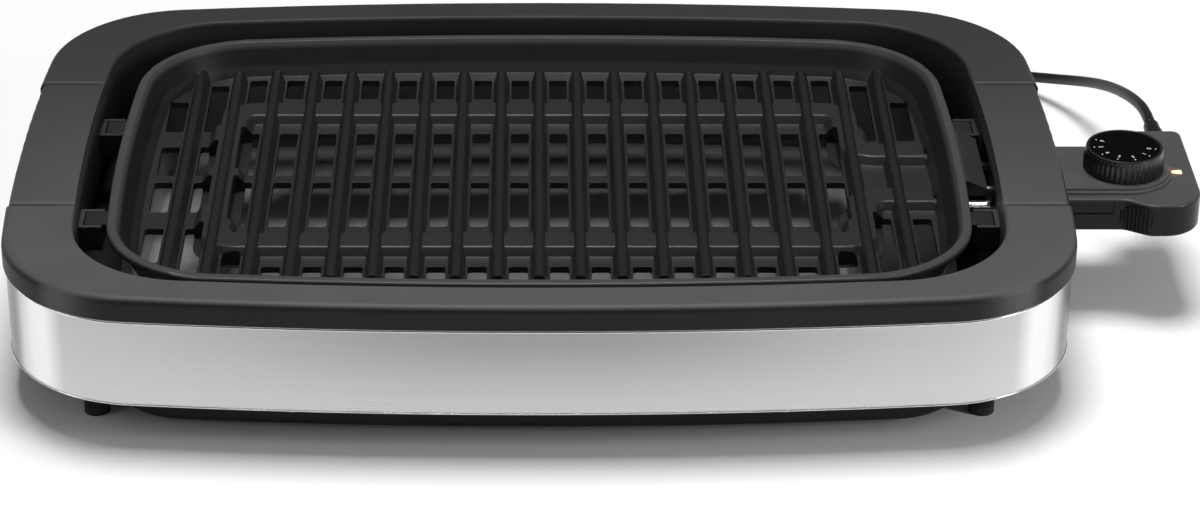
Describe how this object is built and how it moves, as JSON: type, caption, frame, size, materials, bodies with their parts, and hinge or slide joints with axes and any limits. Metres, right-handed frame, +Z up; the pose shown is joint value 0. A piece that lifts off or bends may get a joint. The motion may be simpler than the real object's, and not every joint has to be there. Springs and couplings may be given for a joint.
{
  "type": "indoor electric grill",
  "caption": "Low oblong indoor grill with a steel-banded plastic-rimmed base, lift-out ribbed plate and drip tray, and a plug-in control probe with a dial and cord.",
  "frame": {"origin": "on the counter, under the middle of the object's box without its cord, so 36 mm right of the base's own middle", "axes": "+X to the right, where the control probe plugs in; +Y to the back; +Z up"},
  "size_m": [0.612, 0.4627, 0.084],
  "materials": {
    "rim_plastic": "fine matte grain",
    "handle_plastic": "fine matte grain",
    "band_steel": "brushed along its length",
    "pan_plastic": "plain moulded",
    "foot_rubber": "matte",
    "screw_steel": "plated",
    "tray_metal": "satin pressed sheet",
    "plate_coating": "dark nonstick coating on cast aluminium",
    "guard_plastic": "grained",
    "element_sheath": "oxidised sheath",
    "contact_metal": "bright plated",
    "ceramic": "unglazed ceramic",
    "probe_plastic": "fine matte grain",
    "dial_plastic": "satin, fluted",
    "dial_face": "gloss",
    "shaft_steel": "turned",
    "lens": "lit, translucent",
    "lamp_glass": "glass bulb",
    "cord_rubber": "matte sleeve"
  },
  "bodies": {
    "base": {"rim_frame": "rim_plastic", "left_handle": "handle_plastic", "right_handle": "handle_plastic", "steel_band": "band_steel", "base_pan": "pan_plastic", "foot_posts": "pan_plastic", "foot_pads": "foot_rubber", "frame_screws": "screw_steel", "handle_screws": "screw_steel", "probe_collar": "pan_plastic"},
    "tray": {"drip_tray": "tray_metal"},
    "plate": {"grill_plate": "plate_coating", "heating_element": "element_sheath", "terminal_pins": "contact_metal", "terminal_insulators": "ceramic", "terminal_guard": "guard_plastic", "sensor_saddle": "plate_coating"},
    "probe": {"probe_upper_shell": "probe_plastic", "probe_lower_shell": "probe_plastic", "housing_screws": "screw_steel", "contact_carrier": "ceramic", "contact_forks": "contact_metal", "sensor_rod": "contact_metal", "thermostat_body": "probe_plastic", "indicator_lens": "lens", "neon_lamp": "lamp_glass", "strain_relief": "cord_rubber", "power_cord": "cord_rubber", "cord_coil": "cord_rubber", "plug_body": "cord_rubber", "plug_blades": "contact_metal"},
    "dial": {"knob_skirt": "dial_plastic", "knob_disc": "dial_face", "control_shaft": "shaft_steel"}
  },
  "joints": [
    {"name": "tray_lift", "type": "slide", "parent": "base", "child": "tray", "axis": [0, 0, 1], "range_m": [0, 0.1]},
    {"name": "plate_lift", "type": "slide", "parent": "tray", "child": "plate", "axis": [0, 0, 1], "range_m": [0, 0.08]},
    {"name": "probe_pull", "type": "slide", "parent": "base", "child": "probe", "axis": [1, 0, 0], "range_m": [0, 0.12]},
    {"name": "dial_turn", "type": "hinge", "parent": "probe", "child": "dial", "pos_m": [0.2685, 0, 0.075], "axis": [0, 0, 1], "range_deg": [0, 230]}
  ]
}
